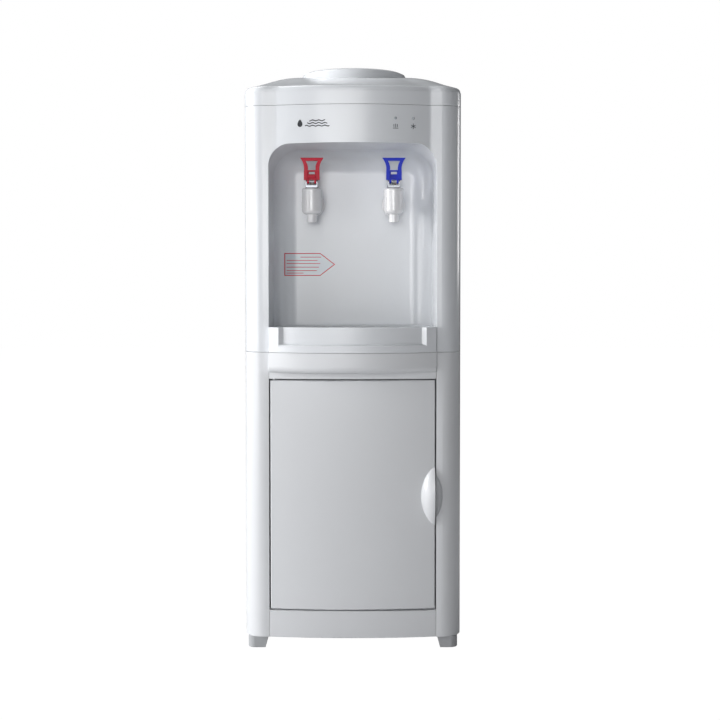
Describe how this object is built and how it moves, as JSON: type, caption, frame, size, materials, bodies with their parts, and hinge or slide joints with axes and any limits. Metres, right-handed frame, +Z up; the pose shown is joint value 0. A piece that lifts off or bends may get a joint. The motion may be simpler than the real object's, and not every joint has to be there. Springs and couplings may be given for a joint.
{
  "type": "floor-standing bottled water dispenser",
  "caption": "Upright white water dispenser: open bottle seat on top, recessed bay with hot and cold lever taps over a bowed drip tray, hinged cabinet door below.",
  "frame": {"origin": "on the floor, under the middle of the overall box", "axes": "+Z up, -Y to the front, +X to the user's right"},
  "size_m": [0.304, 0.32, 0.8246],
  "materials": {
    "white_panel": "satin white moulded ABS",
    "white_moulding": "glossy white moulded ABS",
    "painted_sheet": "light grey powder coat on thin steel sheet",
    "galvanised_sheet": "zinc-coated steel sheet",
    "grey_feet": "matt grey plastic",
    "liner_plastic": "matt white plastic",
    "zinc_pins": "bright zinc-plated steel",
    "black_rubber": "matt black rubber",
    "grille_plastic": "light grey ABS",
    "tap_white": "glossy white plastic",
    "plunger_silicone": "white plastic stem with a soft silicone seal",
    "spring_steel": "stainless spring wire",
    "lever_red": "glossy red plastic",
    "lever_blue": "glossy blue plastic",
    "bonnet_chrome": "chrome-plated",
    "silicone": "translucent white silicone rubber",
    "tank_steel": "stainless steel",
    "foam": "expanded polystyrene foam",
    "aluminium": "extruded aluminium",
    "ceramic_white": "white alumina plates",
    "black_plastic": "matt black plastic",
    "switch_red": "glossy red plastic",
    "switch_green": "glossy green plastic",
    "board_green": "solder-masked circuit board",
    "lens_clear": "clear moulded plastic light pipe"
  },
  "bodies": {
    "housing": {"left_side_panel_lower": "white_panel", "right_side_panel_lower": "white_panel", "base_plate": "galvanised_sheet", "feet": "grey_feet", "plinth": "white_panel", "tray_fascia": "white_panel", "door_magnet": "black_rubber", "magnet_holder": "liner_plastic", "front_moulding": "white_moulding", "left_side_panel_upper": "white_panel", "right_side_panel_upper": "white_panel", "back_panel": "painted_sheet", "top_cover": "white_moulding", "hot_tap_body": "tap_white", "cold_tap_body": "tap_white", "tap_bonnets": "bonnet_chrome", "tap_lever_pins": "zinc_pins", "tap_nuts": "liner_plastic", "seat_gasket": "silicone", "cold_tank": "tank_steel", "cold_tank_insulation": "foam", "tank_baffle": "liner_plastic", "cold_block": "aluminium", "peltier_module": "ceramic_white", "heat_sink": "aluminium", "fan_frame": "black_plastic", "hot_tank": "tank_steel", "heater_band": "tank_steel", "hot_tank_jacket": "foam", "thermostats": "black_plastic", "cold_outlet_hose": "silicone", "hot_outlet_hose": "silicone", "feed_hose": "silicone", "tank_shelf": "galvanised_sheet", "power_inlet": "black_plastic", "switch_frames": "black_plastic", "power_board": "board_green", "indicator_lenses": "lens_clear", "indicator_board": "board_green", "back_screws": "zinc_pins", "upper_deck": "galvanised_sheet"},
    "door": {"door_panel": "white_panel", "door_liner": "liner_plastic", "door_hinge_pins": "zinc_pins", "door_striker": "zinc_pins"},
    "drip_tray": {"drip_tray": "white_moulding"},
    "drip_grille": {"drip_grille": "grille_plastic"},
    "hot_lever": {"hot_tap_lever": "lever_red"},
    "hot_child_latch": {"hot_tap_child_latch": "lever_red"},
    "hot_plunger": {"hot_tap_plunger": "plunger_silicone", "hot_tap_spring": "spring_steel"},
    "cold_lever": {"cold_tap_lever": "lever_blue"},
    "cold_plunger": {"cold_tap_plunger": "plunger_silicone", "cold_tap_spring": "spring_steel"},
    "bottle_seat": {"bottle_seat": "white_moulding", "water_probe": "liner_plastic"},
    "heating_rocker": {"heating_switch_rocker": "switch_red"},
    "cooling_rocker": {"cooling_switch_rocker": "switch_green"},
    "fan": {"fan_rotor": "black_plastic"},
    "drain_plug": {"drain_plug": "black_rubber"}
  },
  "joints": [
    {"name": "door_hinge", "type": "hinge", "parent": "housing", "child": "door", "pos_m": [-0.1097, -0.1225, 0.2168], "axis": [0, 0, -1], "range_deg": [0, 90]},
    {"name": "tray_slide", "type": "slide", "parent": "housing", "child": "drip_tray", "axis": [0, -1, 0], "range_m": [0, 0.11]},
    {"name": "grille_lift", "type": "slide", "parent": "drip_tray", "child": "drip_grille", "axis": [0, 0, 1], "range_m": [0, 0.06]},
    {"name": "hot_lever_hinge", "type": "hinge", "parent": "housing", "child": "hot_lever", "pos_m": [-0.058, -0.1025, 0.6555], "axis": [1, 0, 0], "range_deg": [0, 20], "stiffness_Nm_per_rad": 0.08, "springref_deg": -14.32},
    {"name": "hot_plunger_lift", "type": "slide", "parent": "housing", "child": "hot_plunger", "axis": [0, 0, 1], "range_m": [0, 0.003], "deforming": ["hot_tap_spring"]},
    {"name": "cold_lever_hinge", "type": "hinge", "parent": "housing", "child": "cold_lever", "pos_m": [0.058, -0.1025, 0.6555], "axis": [1, 0, 0], "range_deg": [0, 20], "stiffness_Nm_per_rad": 0.08, "springref_deg": -14.32},
    {"name": "cold_plunger_lift", "type": "slide", "parent": "housing", "child": "cold_plunger", "axis": [0, 0, 1], "range_m": [0, 0.003], "deforming": ["cold_tap_spring"]},
    {"name": "hot_latch_slide", "type": "slide", "parent": "hot_lever", "child": "hot_child_latch", "axis": [0, 0, 1], "range_m": [0, 0.0045], "stiffness_N_per_m": 150, "springref_m": -0.002},
    {"name": "bottle_seat_lift", "type": "slide", "parent": "housing", "child": "bottle_seat", "axis": [0, 0, 1], "range_m": [0, 0.1]},
    {"name": "heating_rocker_hinge", "type": "hinge", "parent": "housing", "child": "heating_rocker", "pos_m": [0.104, 0.151, 0.552], "axis": [-1, 0, 0], "range_deg": [0, 16]},
    {"name": "cooling_rocker_hinge", "type": "hinge", "parent": "housing", "child": "cooling_rocker", "pos_m": [0.104, 0.151, 0.59], "axis": [-1, 0, 0], "range_deg": [0, 16]},
    {"name": "fan_spin", "type": "hinge", "parent": "housing", "child": "fan", "pos_m": [0, 0.1378, 0.7], "axis": [0, 1, 0], "continuous": true},
    {"name": "drain_plug_pull", "type": "slide", "parent": "housing", "child": "drain_plug", "axis": [0, 1, 0], "range_m": [0, 0.03]}
  ],
  "couplings": [
    {"joint": "hot_plunger_lift", "follows": "hot_lever_hinge", "m_per_rad": 0.0085},
    {"joint": "cold_plunger_lift", "follows": "cold_lever_hinge", "m_per_rad": 0.0085}
  ]
}
